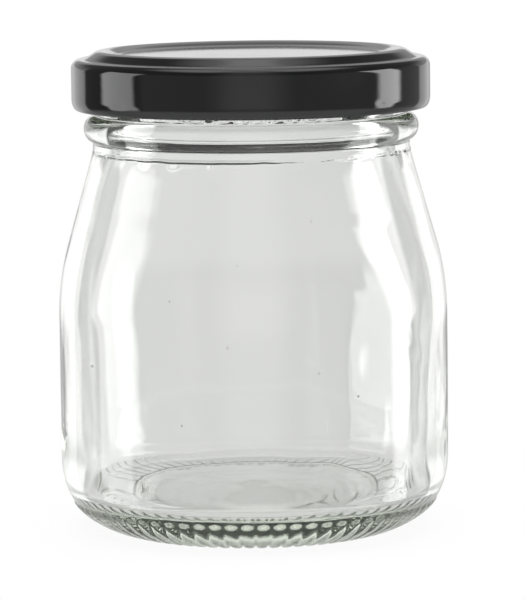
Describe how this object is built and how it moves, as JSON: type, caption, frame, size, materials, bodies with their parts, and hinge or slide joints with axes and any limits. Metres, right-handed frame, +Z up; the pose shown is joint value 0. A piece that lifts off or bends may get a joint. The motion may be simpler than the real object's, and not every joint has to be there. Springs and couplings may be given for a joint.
{
  "type": "jar with twist cap",
  "caption": "Empty clear glass food jar with a wide mouth, sloping shoulder, neck bead and ribbed base, closed by a glossy black twist-off metal cap.",
  "frame": {"origin": "centre of the base, on the surface that the jar stands on", "axes": "+Z up along the jar's axis; -Y is the side that faces the camera in the picture; +X is the camera's right"},
  "size_m": [0.0716, 0.0716, 0.088],
  "materials": {
    "glass": "clear, smooth, with a faint grey-green cast",
    "lacquer": "gloss black lacquer"
  },
  "bodies": {
    "root": {"jar": "glass", "cap": "lacquer"}
  },
  "joints": []
}
